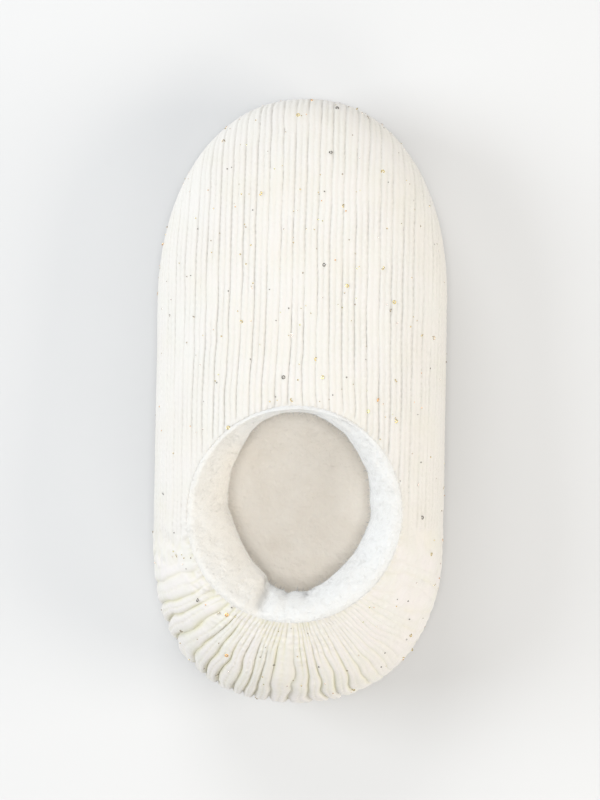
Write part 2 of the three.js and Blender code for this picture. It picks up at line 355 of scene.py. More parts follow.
def length_across(x, y):
    """Reads the table of lengths over the vamp."""
    width = np.maximum(section_width(y), 1e-6)
    angle = np.arcsin(np.clip(np.abs(x) / width, 0, 1))
    row = np.clip((y + half_length) / foot_length * (len(across_ys) - 1), 0, len(across_ys) - 1.001)
    column = np.clip(angle / (math.pi / 2) * (len(across_angles) - 1), 0, len(across_angles) - 1.001)
    i, j = row.astype(int), column.astype(int)
    s, t = row - i, column - j
    return ((across_lengths[i, j] * (1 - t) + across_lengths[i, j + 1] * t) * (1 - s)
            + (across_lengths[i + 1, j] * (1 - t) + across_lengths[i + 1, j + 1] * t) * s)


def rib_coordinates(place, points, turn, from_widest):
    """Ribs across and courses along the front. from_widest is the way down from the widest line."""
    y = points[..., 1]
    x = points[..., 0] - lean_at(y)
    edge_x, edge_y = outline_at(place)
    along = y + course_bend * ease(y, *course_span) * (course_level - points[..., 2])
    x = np.where(turn < 0, edge_x, x)
    y = np.where(turn < 0, edge_y, y)
    straight = straight_share * ease(y, *straight_span)
    over = length_across(x, y) * (1 - straight) + np.minimum(np.abs(x), section_width(y)) * straight
    sideways = (np.abs(edge_x) / half_width) ** (toe_squareness - 1) / half_width
    forward = np.clip((edge_y - toe_centre) / toe_round, 0, 1) ** (toe_squareness - 1) / toe_round
    across = over + from_widest * sideways / np.maximum(np.hypot(sideways, forward), 1e-9)
    near_throat = np.exp(-((y - throat_y) / throat_length) ** 2 - (x / throat_width) ** 2)
    across = across / (1 + throat_stretch * near_throat)
    return np.sign(x) * across / rib_pitch, along / course_pitch


def knit_relief(across, along):
    """Height of rib knit from 0 deep in the valleys to 1 on a stitch leg, and the painted shade a place gets.
    """
    u = 2 * np.abs(across - np.round(across))
    outside = np.clip((u - leg_place) / (1 - leg_place), 0, 1)
    inside = np.clip((leg_place - u) / leg_place, 0, 1)
    legs = (1 - outside ** 2.6) ** 0.8 - 0.36 * inside ** 2.4
    crease = 1 - np.abs(np.sin(math.pi * (along - 0.5 * u))) ** 0.5
    bars = wave(along)
    height = legs - 0.2 * crease * (1 - outside ** 2) + 0.25 * bars * outside ** 4
    # Painted shade: most in the valleys, less in the middle grooves and creases, broken where the bars cross
    valley_shade = outside ** 3 * (1 - 0.6 * bars) + 0.42 * inside ** 4 + 0.1 * crease * (1 - outside)
    return height, valley_shade


def pleat_relief(round_heel, turn, along, wander):
    """The gathered heel: fine ribs at the collar that join into fat pleats lower down, with painted shade."""
    ends = ease(round_heel, 2, 2.2) * (1 - ease(round_heel, 3.8, 4))
    shift = (0.14 * np.sin(9.3 * round_heel + 0.6) + 0.1 * np.sin(23.1 * round_heel + 2.1)
             + 0.13 * np.sin(6 * round_heel + 2.6 * turn) + 0.06 * np.sin(31 * round_heel + 5 * turn))
    phase = read_smooth(pleat_numbers, round_heel) + (shift + wander) * ends
    number = np.floor(phase)
    u = 2 * np.abs(phase - number - 0.5)
    start = 0.71 + 0.1 * ease(round_heel, 3.2, 3.6) + 0.1 * np.sin(2.4 * number + 0.8)
    fat = 1 - ease(turn, start, start + 0.16)
    crease = 1 - np.abs(np.sin(math.pi * (along - 0.4 * u))) ** 0.5
    dots = wave(along)
    middle = np.exp(-(u / 0.17) ** 2) * (0.7 + 0.3 * dots)
    ridge = (1 - u ** 3) ** 0.62 - 0.13 * middle - 0.1 * crease * (1 - u ** 2)
    v = 2 * np.abs(2 * phase - np.floor(2 * phase) - 0.5)
    fine = (1 - v ** 2) ** 0.7 * (1 - 0.45 * (1 - dots) * (1 - v ** 2))
    # Painted shade in the pleats' valleys and middle grooves, between the fine ribs, and in the creases
    fat_pleat_shade = u ** 4.5 + 0.2 * middle
    fine_rib_shade = 0.5 * v ** 3 + 0.2 * (1 - dots)
    valley_shade = fat * fat_pleat_shade + (1 - fat) * fine_rib_shade + 0.12 * crease * (1 - u)
    return ridge, fine, fat, valley_shade, phase


def edge_beads(place):
    """The beads along the collar's edge, 0 between two and 1 on one, and how far they lift it."""
    station, side = split_place(place)
    way_round = side * collar_angle(station) * collar_width / 2
    beads = wave(way_round / edge_bead_pitch)
    return beads, edge_lift + edge_bead_height * beads


def knit_surface(place, turn, share, length):
    """The knit's outer face: points, painted shade, knit coordinates and heel. share is the way up a column.
    """
    base = last_point(place, turn)
    normal = last_normal(place, turn)
    station, side = split_place(place)
    widest_share = np.take_along_axis(share, np.argmin(np.abs(turn), axis=1)[:, None], axis=1)
    from_widest = np.maximum(0, widest_share - share) * length[:, None]
    from_collar = (1 - share) * length[:, None]
    wobble = 0.06 * noise(base, 17, 3) + 0.045 * noise(base, 6, 4)
    across, along = rib_coordinates(place, base, turn, from_widest)
    height, valley_shade = knit_relief(across + wobble, along + 0.25 * noise(base, 13, 5))
    along_ribs = np.stack([np.round(across + wobble) * 9, along / 2.2, 0 * along], axis=-1)
    # Noise along each rib that varies its depth and breaks up the shade painted in its valleys
    uneven_depth_and_shade = 1 + 1.2 * noise(along_ribs, 2.7, 12)
    valley_shade = valley_shade * np.clip(uneven_depth_and_shade, 0.1, 1.9)
    rib_lift = rib_depth * (height - 1) * np.clip(0.5 + 0.5 * uneven_depth_and_shade, 0.45, 1.3) + rib_proud
    round_heel = np.where(side > 0, station, 6 - station)
    wander = 0.26 * noise(base, 15, 13) + 0.1 * noise(base, 6, 14)
    courses = from_collar / course_pitch
    ridge, fine, fat, pleat_shade, phase = pleat_relief(round_heel, turn, courses, wander)
    strength = read_smooth(pleat_places, round_heel)
    uneven = 1 + 0.3 * noise(base, 9, 15)
    depth = pleat_depth * read_smooth(pleat_turns, turn) * (0.16 + 0.72 * strength) * uneven
    bulge = pleat_bulge * strength * hump(turn, -0.9, 0.6)
    fat = fat * ease(strength, 0, 0.6)
    near_collar = ease(turn, 0.4, 0.9)
    fine_depth = fine_rib_depth * (0.55 + 0.55 * near_collar) * (0.8 + 0.2 * ease(strength, 0.1, 0.8))
    pleat_lift = fat * (depth * (ridge - 1) + bulge * ridge) + (1 - fat) * fine_depth * (fine - 1)
    ragged = 0.11 * noise(base, 9, 8) + 0.05 * noise(base, 3.5, 9)
    heel = ease(station + ragged, 1.88, 2.08)
    lift = rib_lift * (1 - heel) + pleat_lift * heel
    gathers = ease(station, 1.85, 2.1)
    bumps = gathers * (1 - fat) * (1 - 0.75 * np.exp(-((round_heel - 2.5) / 0.3) ** 2))
    small = 0.03 + 0.08 * gathers + (0.3 + 0.45 * ease(round_heel, 3.5, 3.8)) * bumps
    lumps = noise(base, 2.6, 7)
    lift = lift + (0.1 + 0.25 * gathers) * noise(base, 8, 6) + small * lumps
    beads, bead_lift = edge_beads(place)
    rim = np.exp(-(from_collar / 1.6) ** 2)
    lift = lift * (1 - 0.5 * rim) + rim * bead_lift
    points = base + normal * lift[..., None]
    # Painted shade: in the pleats' valleys, in the gaps between the collar's edge beads, and in the dips
    # between lumps on the heel's outer side
    pleat_shade = pleat_shade * (0.2 + 0.8 * ease(strength, 0.1, 0.8)) * np.clip(uneven_depth_and_shade, 0.5, 1.4)
    valley_shade = valley_shade * (1 - heel) + pleat_shade * heel + 0.25 * rim * (1 - beads)
    valley_shade = valley_shade + 0.6 * bumps * ease(round_heel, 3.5, 3.8) * np.maximum(0, -lumps)
    on_heel = heel > 0.5
    uv = np.stack([np.where(on_heel, phase, across), np.where(on_heel, courses, along)], axis=-1)
    return points, np.clip(valley_shade, 0, 1), uv, heel


def grid_faces(points, closed_rows=False, closed_columns=False, start=0):
    """Quads over a grid of points, column by column."""
    index = np.arange(points[..., 0].size).reshape(points.shape[:2]) + start
    if closed_rows:
        index = np.concatenate([index, index[:, :1]], axis=1)
    if closed_columns:
        index = np.concatenate([index, index[:1]], axis=0)
    return np.stack([index[:-1, :-1], index[1:, :-1], index[1:, 1:], index[:-1, 1:]], axis=-1).reshape(-1, 4)


def grid_normals(points):
    """Normals of a grid of points, out of the shoe for columns from the toe round the inner side."""
    return unit(np.cross(np.gradient(points, axis=1), np.gradient(points, axis=0)))


def set_values(thing, values):
    for key, value in values.items():
        setattr(thing, key, value)


def link_object(name, data):
    """A new object, put in the scene."""
    thing = bpy.data.objects.new(name, data)
    scene.collection.objects.link(thing)
    return thing


def make_object(name, points, faces, material, replaces=None, uv=None, values=None, normals=None):
    """A smooth mesh on the root body, from points in millimetres."""
    mesh = bpy.data.meshes.new(name)
    faces = faces.tolist() if isinstance(faces, np.ndarray) else faces
    mesh.from_pydata((points.reshape(-1, 3) * MM).tolist(), [], faces)
    mesh.polygons.foreach_set("use_smooth", np.ones(len(mesh.polygons), bool))
    corners = np.zeros(len(mesh.loops), np.int32)
    mesh.loops.foreach_get("vertex_index", corners)
    if uv is not None:
        layer = mesh.uv_layers.new(name="knit")
        layer.data.foreach_set("uv", uv.reshape(-1, 2)[corners].astype(np.float32).ravel())
    for key, value in (values or {}).items():
        attribute = mesh.attributes.new(key, "FLOAT", "POINT")
        attribute.data.foreach_set("value", value.ravel().astype(np.float32))
    mesh.update()
    if normals is not None:
        mesh.normals_split_custom_set_from_vertices(normals.reshape(-1, 3).tolist())
    mesh.materials.append(material)
    piece = link_object(name, mesh)
    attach(piece, "root")
    if replaces:
        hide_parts(replaces)
    return piece


# Materials

class Nodes:
    """A short way to build a material's nodes."""

    def __init__(self, name):
        self.material = bpy.data.materials.new(name)
        self.material.use_nodes = True
        self.tree = self.material.node_tree
        self.shader = self.tree.nodes["Principled BSDF"]

    def feed(self, node, inputs):
        """Links or sets inputs of a node."""
        for key, value in inputs.items():
            if isinstance(value, bpy.types.NodeSocket):
                self.tree.links.new(value, node.inputs[key])
            else:
                node.inputs[key].default_value = value

    def add(self, kind, inputs=None, **settings):
        node = self.tree.nodes.new(kind)
        set_values(node, settings)
        self.feed(node, inputs or {})
        return node

    def finish(self, inputs):
        """Feeds the surface and returns the material."""
        self.feed(self.shader, inputs)
        return self.material

    def place(self):
        return self.add("ShaderNodeTexCoord").outputs["Object"]

    def attribute(self, name):
        return self.add("ShaderNodeAttribute", attribute_name=name).outputs["Fac"]

    def noise(self, scale, detail=3.0, vector=None, roughness=0.5):
        inputs = {"Scale": scale, "Detail": detail, "Roughness": roughness}
        if vector is not None:
            inputs["Vector"] = vector
        return self.add("ShaderNodeTexNoise", inputs).outputs["Fac"]

    def mix(self, factor, first, second):
        return self.add("ShaderNodeMix", {0: factor, 6: first, 7: second}, data_type="RGBA").outputs[2]

    def ramp(self, socket, stops):
        node = self.add("ShaderNodeValToRGB", {"Fac": socket})
        elements = node.color_ramp.elements
        for i, (place, colour) in enumerate(stops):
            element = elements[i] if i < 2 else elements.new(place)
            element.position = place
            element.color = colour
        return node.outputs["Color"]

    def math(self, operation, first, second):
        return self.add("ShaderNodeMath", {0: first, 1: second}, operation=operation).outputs[0]

    def times(self, first, second):
        return self.math("MULTIPLY", first, second)

    def bump(self, height, strength, distance, under=None):
        inputs = {"Height": height, "Strength": strength, "Distance": distance}
        if under is not None:
            inputs["Normal"] = under
        return self.add("ShaderNodeBump", inputs).outputs["Normal"]


def grey(value):
    return (value, value, value, 1)


knit_cream = (0.515, 0.504, 0.475, 1)
knit_warm = (0.508, 0.488, 0.444, 1)
knit_pink = (0.53, 0.503, 0.49, 1)
# Painted shade for the knit's valleys: grey on the front, and olive on the heel like light bounced between
# the pleats
valley_shade_grey = (0.37, 0.355, 0.32, 1)
valley_shade_olive = (0.5, 0.475, 0.31, 1)
plush_white = (0.52, 0.525, 0.523, 1)
plush_warm = (0.505, 0.498, 0.481, 1)
# The slope's cream tints are painted shade, for the plush on the outer side that lies in shade
slope_shade_cream = (0.525, 0.515, 0.492, 1)
slope_shade_warm = (0.505, 0.487, 0.453, 1)
# Lighter colours low on the slope: painted light that makes up for the shade at the roll's tip
low_slope_lightened_cream = (0.56, 0.532, 0.485, 1)
low_slope_lightened_warm = (0.54, 0.505, 0.45, 1)
# The footbed's tones, used for the insole and inside the lining, are far lighter than the plush outside:
# painted light that makes up for the shade inside the shoe
footbed_lightened_pale = (0.95, 0.91, 0.845, 1)
footbed_lightened_beige = (0.89, 0.835, 0.755, 1)
sole_cream = (0.53, 0.51, 0.463, 1)
sole_dark = (0.485, 0.455, 0.405, 1)


def knit_material():
    nodes = Nodes("rib_knit")
    place = nodes.place()
    valley_shade = nodes.attribute("valley_shade")
    patches = nodes.noise(38, 3, place)
    flecks = nodes.noise(620, 2, place)
    cream = nodes.mix(nodes.ramp(patches, [(0.35, grey(0)), (0.7, grey(1))]), knit_cream, knit_warm)
    cream = nodes.mix(nodes.times(flecks, 0.16), cream, knit_warm)
    heel = nodes.attribute("heel")
    blush = nodes.ramp(nodes.noise(95, 2, place), [(0.38, grey(0)), (0.62, grey(1))])
    blush = nodes.times(blush, nodes.math("ADD", nodes.times(heel, 0.5), 0.35))
    cream = nodes.mix(blush, cream, knit_pink)
    # Painted shade: the valleys, grooves, creases and bead gaps are mixed toward grey on the front and olive
    # on the heel, more strongly on the heel
    shade = nodes.times(valley_shade, nodes.math("ADD", nodes.times(heel, 0.35), 0.33))
    colour = nodes.mix(shade, cream, nodes.mix(heel, valley_shade_grey, valley_shade_olive))
    yarn = nodes.add("ShaderNodeUVMap", uv_map="knit").outputs["UV"]
    stretched = nodes.add("ShaderNodeMapping", {"Vector": yarn, "Scale": (11, 3.2, 1)}).outputs["Vector"]
    plies = nodes.noise(1.0, 4, stretched, 0.6)
    hairs = nodes.noise(1500, 3, place, 0.6)
    coarse = nodes.bump(plies, 0.5, 0.0003)
    surface = nodes.bump(hairs, 0.35, 0.0002, coarse)
    return nodes.finish({"Base Color": colour, "Normal": surface, "Roughness": 0.93,
                         "Specular IOR Level": 0.25, "Sheen Weight": 0.25, "Sheen Roughness": 0.5})


def plush_material(name, light_colours, dark_colours, noise_scale):
    """Plush coloured by how deep a place is: on the roll, on its slope, low on the slope and inside."""
    nodes = Nodes(name)
    place = nodes.place()
    clouds = nodes.noise(noise_scale, 4, place, 0.55)
    tufts = nodes.noise(420, 3, place, 0.6)
    deep = nodes.attribute("deep")
    patches = nodes.ramp(clouds, [(0.3, grey(0)), (0.75, grey(1))])
    # Painted shade and light by depth: cream on the slope, lighter low on the slope and far lighter inside
    light, dark = [nodes.ramp(deep, [(0, on_roll), (1, inside), (0.5, slope), (0.75, low_slope)])
                   for on_roll, slope, low_slope, inside in (light_colours, dark_colours)]
    colour = nodes.mix(nodes.times(tufts, 0.3), nodes.mix(patches, light, dark), dark)
    soft = nodes.bump(tufts, 0.8, 0.0014)
    fine = nodes.noise(1700, 2, place, 0.6)
    surface = nodes.bump(fine, 0.3, 0.0002, soft)
    return nodes.finish({"Base Color": colour, "Normal": surface, "Roughness": 1.0,
                         "Specular IOR Level": 0.15, "Sheen Weight": 0.5, "Sheen Roughness": 0.6})


def sole_material():
    nodes = Nodes("brushed_sole")
    place = nodes.place()
    patches = nodes.noise(45, 3, place)
    nap = nodes.noise(900, 3, place, 0.6)
    colour = nodes.mix(nodes.times(patches, 0.5), sole_cream, sole_dark)
    return nodes.finish({"Base Color": colour, "Normal": nodes.bump(nap, 0.5, 0.0004), "Roughness": 0.95,
                         "Sheen Weight": 0.2})


def sequin_material():
    nodes = Nodes("sequins")
    tint = nodes.attribute("tint")
    film = nodes.noise(700, 2, nodes.place())
    shifted = nodes.math("ADD", tint, nodes.times(nodes.math("SUBTRACT", film, 0.5), 0.12))
    colours = nodes.ramp(shifted, [
        (0.0, (0.2, 0.19, 0.17, 1)), (1.0, (0.86, 0.72, 0.68, 1)), (0.22, (0.48, 0.41, 0.31, 1)),
        (0.42, (0.60, 0.50, 0.24, 1)), (0.6, (0.78, 0.45, 0.18, 1)), (0.8, (0.66, 0.65, 0.33, 1))])
    return nodes.finish({"Base Color": colours, "Metallic": 0.75, "Roughness": 0.22})


# Knit upper

def equal_turns(place, rows):
    """The turns and shares that cut each column into equal steps, and its length."""
    fine = np.concatenate([np.linspace(-1, 0, 70, endpoint=False), np.linspace(0, 1, 261)])
    points = last_point(place[:, None], fine[None])
    travelled = lengths_along(np.linalg.norm(np.diff(points, axis=1), axis=2))
    shares = np.linspace(0, 1, rows + 1)
    turns = np.array([np.interp(shares * way[-1], way, fine) for way in travelled])
    return turns, np.broadcast_to(shares, turns.shape), travelled[:, -1]


def wall_rows(place):
    """The knit's rows past its outer face: round the edge of the collar, then down the inner face."""
    depth = inner_depth(place) * edge_thinning
    beads, bead_lift = edge_beads(place)
    edge = last_point(place, 1)
    normal = last_normal(place, 1)
    up = unit(edge - last_point(place, 0.97))
    rows = []
    middle = depth / 2
    for angle in np.radians([35, 65, 90, 115, 145]):
        out = middle * np.cos(angle) - middle + bead_lift * max(0, math.cos(angle))
        rise = (edge_radius + edge_radius * beads) * math.sin(angle)
        rows.append(edge + normal * out[:, None] + up * rise[:, None])
    rows.append(below(place, 1, depth))
    for turn in (0.85, 0.7, 0.5, 0.3, 0.1, -0.15, -0.4, -0.7, -1):
        rows.append(below(place, turn, inner_depth(place)))
    return np.stack(rows, axis=1)


def knit_piece(name, stations, side, rows, material):
    """One part of the knit between two stations of one side. Returns its outer face's points."""
    step = stations[1] - stations[0]
    widened = np.concatenate([[stations[0] - step], stations, [stations[-1] + step]])
    place = side * widened
    turns, shares, length = equal_turns(place, rows)
    outer, valley_shade, uv, heel = knit_surface(place[:, None], turns, shares, length)
    normals = grid_normals(outer) * side
    inner = wall_rows(place)
    points = np.concatenate([outer, inner], axis=1)[1:-1]
    inner_normals = grid_normals(np.concatenate([outer[:, -1:], inner], axis=1))[:, 1:] * side
    all_normals = np.concatenate([normals, inner_normals], axis=1)[1:-1]
    pad = ((0, 0), (0, inner.shape[1]))
    values = {"valley_shade": np.pad(valley_shade[1:-1], pad), "heel": np.pad(heel[1:-1], pad)}
    uv = np.pad(uv[1:-1], pad + ((0, 0),))
    faces = grid_faces(points, closed_rows=True)
    if side > 0:
        faces = faces[:, ::-1]
    make_object(name, points, faces, material, "knit_upper", uv, values, all_normals)
    return points[:, :rows + 1]


def make_knit():
    material = knit_material()
    vamp = np.linspace(0, 1, vamp_columns + 1)
    sides = np.linspace(1, 2, side_columns + 1)
    heel = np.linspace(2, 3, heel_columns + 1)
    back = np.concatenate([sides, heel[1:]])
    outsides = []
    for side, label in ((1, "inner"), (-1, "outer")):
        outsides.append(knit_piece(f"knit_vamp_{label}", vamp, side, vamp_rows, material))
        outsides.append(knit_piece(f"knit_back_{label}", back, side, back_rows, material))
    return outsides


# Plush lining

def plush_end_turn(place):
    """The turn at which the plush ends, just above the insole."""
    low, high = -1.0, 0.0
    target = insole_top(outline_at(place, tuck_under / 2)[1]) + gap
    for _ in range(24):
        middle = (low + high) / 2
        under = below(place, middle, inner_depth(place) + gap)[..., 2] < target
        low, high = np.where(under, middle, low), np.where(under, high, middle)
    return np.minimum(-0.32, high)


def smooth_rows(control, counts):
    """Cuts rows of points finer along smooth curves. counts has the steps of each span."""
    spans = np.diff(control, axis=1)
    lengths = np.maximum(np.linalg.norm(spans, axis=2, keepdims=True), 1e-6)
    slopes = spans / lengths
    before, after = lengths[:, :-1], lengths[:, 1:]
    middle = (slopes[:, :-1] * after + slopes[:, 1:] * before) / (before + after)
    tangents = np.concatenate([slopes[:, :1], middle, slopes[:, -1:]], axis=1)
    rows = []
    for i, count in enumerate(counts):
        a, b = control[:, i], control[:, i + 1]
        start, end = tangents[:, i] * lengths[:, i], tangents[:, i + 1] * lengths[:, i]
        for t in np.arange(count) / count:
            rows.append(curve(t, a, b, start, end))
    rows.append(control[:, -1])
    return np.stack(rows, axis=1)


def fleece(points, seed):
    """Lumps of long-pile plush."""
    return (0.6 * noise(points, 12, seed) + 0.28 * noise(points, 4.5, seed + 1)
            + 0.14 * noise(points, 1.9, seed + 2))


# Dents and folds of the roll: place round the collar, share of the way over the roll, widths, depth
roll_folds = [
    ("fold where the roll ends", 3.36, 0.55, 0.07, 0.40, 3.0),
    ("fold at the back right", 2.80, 0.72, 0.08, 0.22, 1.5),
    ("crease at the back", 3.08, 0.85, 0.05, 0.20, 1.1),
    ("dent on the inner side", 1.82, 0.72, 0.16, 0.25, 1.2),
    ("dent on the outer side", 4.35, 0.60, 0.22, 0.30, 1.8),
    ("dent at the outer corner", 4.95, 0.55, 0.20, 0.30, 1.0),
]


def make_lining(material):
    """The plush as one skin. Returns the rows that show, their normals and how deep they lie."""
    place = ring_places(lining_columns)
    station = split_place(place)[0]
    reach = read_smooth(plush_reach, station)
    height = read_smooth(plush_height, station)
    outside_depth = inner_depth(place) + gap
    inside_depth = outside_depth + read_smooth(plush_thickness, station)
    control = [below(place, plush_end_turn(place), outside_depth)]
    for turn in (-0.3, 0, 0.2, 0.4, 0.6, 0.8):
        control.append(below(place, turn, outside_depth))
    edge = below(place, 1, inner_depth(place) * edge_thinning + gap)
    control.append(edge)
    inward = np.stack([lean_at(collar_centre) - edge[:, 0], collar_centre - edge[:, 1], 0 * place], axis=-1)
    inward = unit(inward)
    for inward_by, rise in roll_starts:
        row = last_point(place, 1.0) + inward * inward_by
        row[:, 2] += rise
        control.append(row)
    round_collar = np.where(place < 0, place + 6, place)
    sloping = ease(round_collar, *slope_start) * (1 - ease(round_collar, *slope_end))
    for share, drop, slope_drop in zip(roll_shares, roll_drops, slope_drops):
        row = edge + inward * (share * reach * (1 + (slope_reach - 1) * sloping))[:, None]
        row[:, 2] -= (drop * (1 - sloping) + slope_drop * sloping) * height
        control.append(row)
    for turn, thicker in slope_backing:
        control.append(below(place, turn, inside_depth + thicker * sloping))
    foot = below(place, 0, inside_depth + slope_foot * sloping)
    foot[:, 2] = insole_top(foot[:, 1]) + gap
    control.append(foot)
    rows = smooth_rows(np.stack(control, axis=1), lining_steps)
    around = np.roll(rows, -1, axis=0) - np.roll(rows, 1, axis=0)
    normals = unit(np.cross(np.gradient(rows, axis=1), around))
    lumps = fleece(rows, 21)
    total = rows.shape[1]
    row_number = np.arange(total)
    way = np.clip((row_number - first_shown) / rows_over_roll, 0, 2)
    for _, where, over, wide, tall, depth in roll_folds:
        beside = (round_collar[:, None] - where) / wide
        beyond = (way - over) / tall
        lumps = lumps - depth * np.exp(-beside ** 2 - beyond ** 2)
    shown = ease(row_number, first_shown - 2, first_shown + 8)
    ends = 1 - ease(row_number, total - 6, total - 1)
    rows = rows + normals * (lumps * shown * ends)[..., None]
    faces = grid_faces(rows, closed_rows=True, closed_columns=True)[:, ::-1]
    # Place on the colour ramp: the slope's painted shade, then the lighter colours that paint light low on
    # the slope and inside
    shaded = sloping[:, None] * (0.5 + 0.25 * ease(way, 0.15, 0.8))
    deep = shaded + (1 - shaded) * ease(way + 0.08 * sloping[:, None], 0.85, 1.2)
    make_object("plush_lining_pile", rows, faces, material, "plush_lining", values={"deep": deep})
    return rows[:, first_shown:], normals[:, first_shown:], deep[:, first_shown:]


# Soles

def slab_rows(place, edge, bottom_at, top_at, edge_round, shares):
    """Rows of a slab with round edges, from the spine of its underside to the spine of its top."""
    spine_y = np.clip(outline_at(place)[1], heel_centre, toe_centre)
    spine = np.stack([lean_at(spine_y), spine_y], axis=-1)
    length = np.linalg.norm(spine - edge, axis=1)

    def ring(share, inset, height_at, lift=0.0):
        along = share + (1 - share) * inset / length
        flat = edge + (spine - edge) * along[:, None]
        return np.concatenate([flat, (height_at(flat[:, 1]) + lift)[:, None]], axis=1)

    rows = [ring(share, edge_round, bottom_at) for share in shares[::-1]]
    for height_at, sign, degrees in ((bottom_at, 1, (-90, -60, -30, 0)), (top_at, -1, (0, 30, 60, 90))):
        for angle in np.radians(degrees):
            inset, lift = edge_round * (1 - np.cos(angle)), edge_round * (np.sin(angle) + sign)
            rows.append(ring(0, inset, height_at, lift))
    rows += [ring(share, edge_round, top_at) for share in shares]
    return np.stack(rows, axis=1)


def slab_faces(rows):
    """The faces of a slab's rows, with a strip along the middle of its underside and of its top."""
    columns, total = rows.shape[:2]
    half = columns // 2
    strip = [[0, 1, columns - 1], [half - 1, half, half + 1]]
    strip += [[i, i + 1, columns - i - 1, columns - i] for i in range(1, half - 1)]
    underside = [[i * total for i in face] for face in strip]
    top = [[i * total + total - 1 for i in face[::-1]] for face in strip]
    return grid_faces(rows, closed_columns=True)[:, ::-1].tolist() + underside + top


def insole_slab(columns, shares):
    """The rows of the insole's slab, at its CAD size."""
    place = ring_places(columns)
    rim = below(place, -1, inner_depth(place))
    out = last_normal(place, 0)
    edge = (rim - gap * out)[:, :2]
    return slab_rows(place, edge, lambda y: sole_top(y) + gap, insole_top, insole_edge_round, shares)


slab_edge_rows = 8
ring_ends = (0.02, 0.985)
under_lining = 0.3
pad_columns = 72
pad_shares = np.linspace(*ring_ends, 18)
pad_pressure = 8.0
pad_frames = 20
pad_cap = 2.4
insole_sunk = 0.4


def crown_of_pad():
    """Simulates the insole's cover over its foam: how far each place of the top rises, capped."""
    rows = insole_slab(pad_columns, pad_shares)
    first_top = len(pad_shares) + slab_edge_rows
    mesh = bpy.data.meshes.new("pad_cloth")
    mesh.from_pydata((rows.reshape(-1, 3) * MM).tolist(), [], slab_faces(rows))
    cover = link_object("pad_cloth", mesh)
    held = np.zeros(rows.shape[:2], bool)
    held[:, :first_top] = True
    held[:, first_top:] = pad_shares < under_lining
    cover.vertex_groups.new(name="held").add(np.flatnonzero(held.ravel()).tolist(), 1.0, "REPLACE")
    cloth = cover.modifiers.new("cloth", "CLOTH")
    set_values(cloth.settings, {
        "quality": 6, "mass": 0.25, "tension_stiffness": 12, "compression_stiffness": 12,
        "shear_stiffness": 6, "bending_stiffness": 0.6, "vertex_group_mass": "held", "use_pressure": True,
        "uniform_pressure_force": pad_pressure})
    cloth.settings.effector_weights.gravity = 0
    cloth.point_cache.frame_end = pad_frames
    for frame_number in range(1, pad_frames + 1):
        scene.frame_set(frame_number)
    swollen = cover.evaluated_get(bpy.context.evaluated_depsgraph_get()).to_mesh()
    places = np.zeros(len(swollen.vertices) * 3)
    swollen.vertices.foreach_get("co", places)
    rise = places.reshape(rows.shape)[..., 2] / MM - rows[..., 2]
    scene.frame_set(1)
    bpy.data.objects.remove(cover)
    bpy.data.meshes.remove(mesh)
    return np.clip(rise[:, first_top:], 0, pad_cap)


def read_ring(values, columns, shares):
    """Reads a coarse ring of values onto finer columns and shares."""
    by_share = np.stack([np.interp(shares, pad_shares, row) for row in values])
    at = np.arange(columns) * len(values) / columns
    low = at.astype(int)
    t = (at - low)[:, None]
    return by_share[low] * (1 - t) + by_share[(low + 1) % len(values)] * t


def make_insole(material):
    """The padded insole. Returns the rows of its top."""
    shares = np.linspace(*ring_ends, insole_rings)
    rows = insole_slab(insole_columns, shares)
    first_top = len(shares) + slab_edge_rows
    rows[:, first_top:, 2] += read_ring(crown_of_pad(), insole_columns, shares)
    away = ease(np.arange(rows.shape[1]), first_top, first_top + 6)
    rows[..., 2] += (fleece(rows, 31) - insole_sunk) * away
    piece = make_object("insole_pad", rows, slab_faces(rows), material, "insole")
    return rows[:, first_top:]


dot_height = 0.7
dot_radius = 1.3
dot_spacing = 7.0
dot_row_share = 0.87
dot_reach = 63
dot_margin = 5.0
dot_profile = [(1.0, 0.1), (0.96, -0.35), (0.75, -0.72), (0.4, -0.95)]
outsole_shares = np.array([0.03, 0.08, 0.2, 0.35, 0.5, 0.65, 0.8, 0.97])


def make_outsole(material):
    place = ring_places(outsole_columns)
    flat_x, flat_y = outline_at(place, tuck_at(place) - sole_margin)
    edge = np.stack([flat_x + lean_at(flat_y), flat_y], axis=-1)
    rows = slab_rows(place, edge, lambda y: sole_bottom(y) + dot_height, sole_top, sole_edge_round,
                     outsole_shares)
    make_object("outsole_cloth", rows, slab_faces(rows), material, "outsole")
    make_dots(edge, material)


def inside_outline(x, y, edge, margin):
    """Whether an outline goes round a point, at least a margin from it."""
    spokes = edge[:, 0] - x + 1j * (edge[:, 1] - y)
    turned = np.angle(np.roll(spokes, -1) / spokes).sum()
    return abs(turned) > math.pi and np.abs(spokes).min() > margin


def make_dots(edge, material):
    """Grip dots under the outsole, in staggered rows."""
    sides = 10
    turn = np.arange(sides) * 2 * math.pi / sides
    wide, high = np.array(dot_profile).T[:, :, None]
    dot = np.stack([dot_radius * wide * np.cos(turn), dot_radius * wide * np.sin(turn),
                    dot_height * high + 0 * turn], axis=-1)
    points, faces = [], []
    for row, y in enumerate(np.arange(-half_length, half_length, dot_spacing * dot_row_share)):
        for x in np.arange(-dot_reach, dot_reach, dot_spacing) + (row % 2) * dot_spacing / 2:
            if not inside_outline(x, y, edge, dot_margin):
                continue
            start = len(points)
            base = sole_bottom(y) + dot_height
            points += (dot + [x, y, base]).reshape(-1, 3).tolist() + [[x, y, base - dot_height]]
            faces += grid_faces(dot, closed_rows=True, start=start).tolist()
            last = start + (len(dot_profile) - 1) * sides
            faces += [[last + i, last + sides, last + (i + 1) % sides] for i in range(sides)]
            faces.append(list(range(start, start + sides)))
    make_object("outsole_grip_dots", np.array(points), faces, material)


# Fibres and sequins

hair_radius = 0.07
hair_bend = 0.9
hair_scatter = 0.35
hair_root = 0.3


